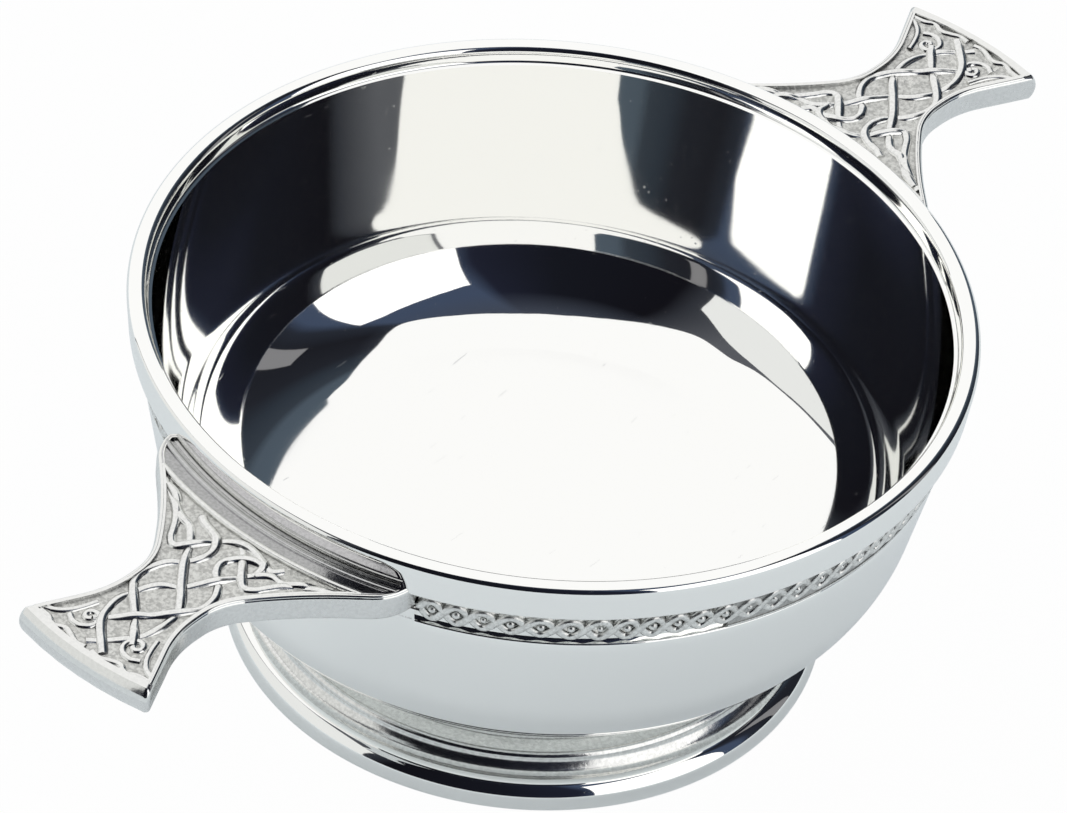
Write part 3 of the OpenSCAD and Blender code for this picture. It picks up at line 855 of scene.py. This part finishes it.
# %% Strands of the lug
STRAND_R, STRAND_SINK, STRAND_LIFT, CURL_R, CURL_SINK = 0.72, 0.4, 0.18, 0.5, 0.2
LUG_STRANDS = {
    "plait_a": [(52.3, -12.6, 0), (53.0, -10.9, 1), (54.2, -9.3, -1), (55.4, -7.8, 1), (55.7, -6.3, 0),
                (56.9, -4.9, 0), (58.1, -3.9, -1), (59.4, -3.2, 0), (60.7, -2.4, 1), (62.4, -1.1, 1),
                (64.1, 0.3, 1), (65.8, 1.8, 1), (67.4, 2.8, -1), (69.4, 3.2, 0), (71.4, 3.1, 0),
                (73.2, 2.6, -1), (75.0, 1.6, 0), (76.7, 0.1, -1), (78.2, -1.2, 0)],
    "plait_b": [(53.6, -6.2, 0), (54.2, -5.2, 0), (54.6, -3.8, 0), (55.4, -2.3, 1), (57.2, -1.4, 0),
                (59.1, -1.6, 0), (60.6, -2.5, -1), (62.0, -3.7, 0), (63.8, -4.4, 0), (65.6, -4.6, 0),
                (67.2, -4.1, 0), (68.5, -3.0, 1), (69.8, -1.6, 1), (71.2, -0.1, -1), (72.7, 1.1, 0),
                (73.9, 2.2, 1), (75.0, 3.0, 0)],
    "plait_c": [(53.7, 6.4, 0), (54.8, 5.5, 0), (54.7, 4.2, 0), (55.2, 2.4, 1), (56.3, 1.1, 0),
                (57.7, 0.6, 0), (59.1, 1.1, 0), (60.3, 2.3, -1), (61.6, 3.5, 0), (63.2, 4.2, 0),
                (65.2, 4.2, 0), (66.8, 3.4, 1), (68.4, 2.3, 1), (69.9, 1.1, 0), (71.2, -0.1, 1),
                (72.7, -1.3, 0), (73.9, -2.4, -1), (75.0, -3.2, 0)],
    "plait_d": [(52.3, 12.6, 0), (53.0, 10.9, -1), (54.2, 9.3, 1), (55.2, 7.6, -1), (55.4, 6.0, 0),
                (56.6, 4.7, 0), (58.0, 3.7, -1), (59.3, 2.9, 0), (60.6, 2.2, 1), (62.4, 1.2, 0),
                (64.1, 0.1, -1), (65.2, -1.4, 0), (66.7, -2.4, 0), (68.5, -3.0, -1), (70.5, -3.4, 0),
                (72.5, -3.1, 0), (74.2, -2.4, 1), (75.9, -1.0, 1), (77.2, 0.4, 1), (78.3, 1.6, 0)],
    "wing_turn_a": [(52.0, -13.6, 0), (53.4, -11.3, -1), (54.6, -9.3, 1), (55.9, -8.1, 0), (57.4, -7.1, 0),
                    (58.9, -6.1, 0), (59.4, -5.2, 0), (58.6, -4.3, 1), (57.2, -3.4, 1), (55.6, -2.3, -1),
                    (54.4, -1.1, 0), (53.8, 0.3, 1), (53.7, 1.8, 0), (54.1, 3.2, 0), (54.8, 4.4, 1),
                    (56.0, 4.6, 0), (57.0, 4.6, 0)],
    "wing_turn_b": [(52.0, 13.6, 0), (53.4, 11.3, 1), (54.4, 9.4, -1), (55.7, 8.0, 0), (57.2, 7.0, 0),
                    (58.6, 6.1, 0), (59.0, 5.2, 0), (58.3, 4.2, 1), (57.2, 3.2, 1), (56.0, 2.2, 0),
                    (55.0, 1.4, -1), (54.2, 0.4, -1), (53.8, -0.8, 0)],
}
CORNER_STRANDS = {
    "tip_curl": [(76.3, 5.4, 0), (76.9, 4.2, 0), (76.5, 2.9, 0), (75.4, 2.3, 0), (74.3, 2.7, 0),
                 (74.0, 3.6, 0), (74.7, 4.2, 0), (75.4, 3.7, 0), (75.1, 3.2, 0)],
    "tip_side": [(72.6, 4.6, 0), (74.4, 5.2, 0), (75.8, 5.9, 0), (76.9, 7.0, 0), (77.4, 8.2, 0)],
    "tip_edge": [(79.0, 0.5, 0), (79.2, 1.7, 0), (78.7, 2.9, 0), (78.3, 4.2, 0), (78.9, 5.5, 0),
                 (78.3, 6.7, 0), (78.1, 8.2, 0)],
}


def strand(name, points, radius, kind="BEZIER"):
    """A tube through points in millimetres, turned into a mesh."""
    path = bpy.data.curves.new(name, "CURVE")
    path.dimensions = "3D"
    path.bevel_depth = radius * MM
    path.bevel_resolution = 3
    path.resolution_u = 6
    path.use_fill_caps = True
    line = path.splines.new(kind)
    knots = line.bezier_points if kind == "BEZIER" else line.points
    knots.add(len(points) - 1)
    for knot, spot in zip(knots, points):
        if kind == "BEZIER":
            knot.co = Vector(spot) * MM
            knot.handle_left_type = knot.handle_right_type = "AUTO"
        else:
            knot.co = (*(Vector(spot) * MM), 1)
    tube = bpy.data.objects.new(name, path)
    bpy.context.scene.collection.objects.link(tube)
    bpy.ops.object.select_all(action="DESELECT")
    tube.select_set(True)
    bpy.context.view_layer.objects.active = tube
    bpy.ops.object.convert(target="MESH")
    return bpy.context.object


def laid(points, sink, side=1):
    """Points along, across and lift as places on the panel."""
    return [(x, side * y, panel_z - sink + STRAND_LIFT * lift) for x, y, lift in points]


tubes = [strand(name, laid(points, STRAND_SINK), STRAND_R) for name, points in LUG_STRANDS.items()]
for side in (1, -1):
    tubes += [strand(name, laid(points, CURL_SINK, side), CURL_R) for name, points in CORNER_STRANDS.items()]
print(len(tubes), "strands")

# %% Border bead of the lug
LIP_R, LIP_INSET, LIP_CORNER, RIDGE_TUBE = 0.32, 0.45, 0.5, 0.45
flank, tip_edge = lug_side(LIP_INSET), lug_tip(LIP_INSET)
half_bead = tip_edge[:-1] + eased(tip_edge[-2], lug_corner(LIP_INSET), flank[0], LIP_CORNER) + flank
half_bead = without_repeats(half_bead)
whole_bead = [(x, -y) for x, y in reversed(half_bead[1:])] + half_bead
bead_tube = strand("border_bead", [(x, y, lug_top - LIP_R) for x, y in whole_bead], LIP_R, "POLY")
to_flank = WING_FLARE + EDGE_ROUND
to_wing = (wing_c.length_squared + RIDGE_R ** 2 - to_flank ** 2) / (2 * wing_c.length * RIDGE_R)
ridge_half = math.degrees(math.atan2(wing_c.y, wing_c.x) - math.acos(to_wing))
ridge = [(*polar(RIDGE_R, ridge_half * i / 8), lug_top + 0.06 - RIDGE_TUBE) for i in range(-8, 9)]
ridge_tube = strand("root_ridge", ridge, RIDGE_TUBE)
tubes += [bead_tube, ridge_tube]
for tube in tubes:
    tube.data.materials.clear()
    tube.data.materials.append(satin_border if tube is bead_tube else bright_strands)
print("bead through", len(whole_bead), "points, ridge to", round(ridge_half, 1), "degrees")

# %% Join the lug and copy it
bpy.ops.object.select_all(action="DESELECT")
for tube in tubes:
    tube.select_set(True)
lug.select_set(True)
bpy.context.view_layer.objects.active = lug
bpy.ops.object.join()


def half_turn(piece, name):
    """A copy with its own mesh, turned half way round the bowl."""
    copy = piece.copy()
    copy.data = piece.data.copy()
    copy.name = copy.data.name = name
    bpy.context.scene.collection.objects.link(copy)
    copy.data.transform(Matrix.Rotation(math.pi, 4, "Z"))
    return copy


other_lug = half_turn(lug, "left_lug_cast")
finished(lug, "right_lug", [], sharp=40)
finished(other_lug, "left_lug", [], sharp=40)

# %% [markdown]
# ## Solder at the lugs
# Where a lug meets the collar, the solder stands as a thin round bead with a crease on both sides,
# and painted shade in the finish makes the creases dark.
# Its section is spun into a whole ring, and then only the part above the lug is kept.

# %% Lug solder
SEAM_R, SEAM_OUT = 0.42, 0.8
edge = collar_r + COLLAR_LEAN * (lug_top - collar_z) / (COLLAR_H - RIM_EDGE)
bed = lug_top - ROOT_DEPTH + 0.1
seam_section = [(edge + 0.01, bed - 0.2), (edge + 0.01, bed + 0.02), (edge + SEAM_OUT - SEAM_R, bed + 0.02)]
seam_section += arc((edge + SEAM_OUT, bed), SEAM_R, 170, 0, 15) + [(edge + SEAM_OUT + SEAM_R, bed - 0.2)]
seam = spun("right_lug_seam", seam_section, [(360, 288)])
bpy.ops.object.mode_set(mode="OBJECT")
cut(seam, prism("lug_tool", lug_outline(0.5), lug_low - 1, lug_top + 3), "INTERSECT")
other_seam = half_turn(seam, "left_lug_seam")
finished(seam, "right_lug_solder", [solder_seam])
finished(other_seam, "left_lug_solder", [solder_seam])

# %% [markdown]
# ## The strips of knotwork
# Each strip is a thin band with a raised line along both edges. Two strands twist round each other in
# the groove, with a round pellet in every eye. The twist is a sine wave, and the lift is the same wave a
# quarter turn later, so the strands pass over and under in turn. A known fault: a spin runs clockwise as
# seen from above, so the thin band goes from its start past the lug and along the other groove, while
# its strands lie in the right one. Next to one end of each lug the strands lie on the groove's bare floor.
# Starting the spin at the groove's other end should mend it.

# %% Strips
TWISTS, TWIST_R, TWIST_SINK, TWIST_LIFT, TWIST_HALF = 18, 0.55, 0.26, 0.1, 1.4
STRIP_EDGE, STRIP_RELIEF, STRIP_ROUND = 0.4, 0.15, 0.12
low, high = band_z + BAND_GAP, collar_z - BAND_GAP
inner, ground = BAND_T, STRIP_RELIEF
strip_section = [(wall_r(low) - inner, low), (wall_r(low), low), (wall_r(low + STRIP_EDGE), low + STRIP_EDGE),
                 (wall_r(low + STRIP_EDGE) - ground, low + STRIP_EDGE),
                 (wall_r(high - STRIP_EDGE) - ground, high - STRIP_EDGE),
                 (wall_r(high - STRIP_EDGE), high - STRIP_EDGE), (wall_r(high), high),
                 (wall_r(high) - inner, high)]
gap_turn = math.degrees(BAND_GAP / wall_top_r)
strip = spun("back_band_cast", strip_section, [(band_turn - 2 * gap_turn, 2 * BAND_STEPS)],
             start=SEAT_HALF + gap_turn)
bpy.ops.mesh.select_all(action="DESELECT")
bpy.ops.mesh.select_non_manifold()
bpy.ops.mesh.edge_face_add()
bpy.ops.object.mode_set(mode="OBJECT")
rounding = strip.modifiers.new("edges", "BEVEL")
rounding.width, rounding.segments, rounding.limit_method = STRIP_ROUND * MM, 2, "ANGLE"
bpy.ops.object.modifier_apply(modifier=rounding.name)
for material in (band_strands, band_ground):
    strip.data.materials.append(material)
for face in strip.data.polygons:
    spot = face.center / MM
    depth = wall_r(spot.z) - math.hypot(spot.x, spot.y)
    if 0.08 < depth < 0.4 and low + STRIP_EDGE < spot.z < high - STRIP_EDGE:
        face.material_index = 1
print("strip", len(strip.data.polygons), "faces")

# %% Twisted strands of the strip
STEPS_PER_TWIST = 10
PELLET_R, PELLET_SINK = 0.55, 0.25
band_mid = (band_z + collar_z) / 2
twist_count = TWISTS * STEPS_PER_TWIST


def twist_place(i):
    """Phase, half width and compass angle at step i. The wave wanders a little, as in a hand-cut mould."""
    along = 2 * math.pi * i / twist_count
    phase = TWISTS * along + 0.4 * math.sin(3.7 * along)
    half = TWIST_HALF * (0.94 + 0.08 * math.sin(5.3 * along + 1))
    return phase, half, math.radians(SEAT_HALF + 0.9 + (band_turn - 1.8) * i / twist_count)


def on_strip(compass, z, sink):
    r = wall_r(z) - STRIP_RELIEF - sink
    return (r * math.cos(compass), r * math.sin(compass), z)


def twist_points(sign):
    places = [twist_place(i) for i in range(twist_count + 1)]
    return [on_strip(compass, band_mid + sign * half * math.sin(phase),
                     TWIST_SINK - TWIST_LIFT * sign * math.cos(phase)) for phase, half, compass in places]


twists = [strand(f"twist_{sign}", twist_points(sign), TWIST_R) for sign in (1, -1)]
for i in range(4 * twist_count):
    here, there = twist_place(i / 4), twist_place((i + 1) / 4)
    if math.cos(here[0]) * math.cos(there[0]) <= 0:
        size = PELLET_R * (0.9 + 0.15 * math.sin(1.7 * i))
        spot = Vector(on_strip(there[2], band_mid, PELLET_SINK)) * MM
        bpy.ops.mesh.primitive_uv_sphere_add(segments=16, ring_count=10, radius=size * MM, location=spot)
        twists.append(bpy.context.object)
for tube in twists:
    tube.data.materials.clear()
    tube.data.materials.append(band_strands)
print(len(twists) - 2, "pellets between two strands")
bpy.ops.object.select_all(action="DESELECT")
for tube in twists:
    tube.select_set(True)
strip.select_set(True)
bpy.context.view_layer.objects.active = strip
bpy.ops.object.join()
other_strip = half_turn(strip, "front_band_cast")
finished(strip, "back_band", [], sharp=40)
finished(other_strip, "front_band", [], sharp=40)
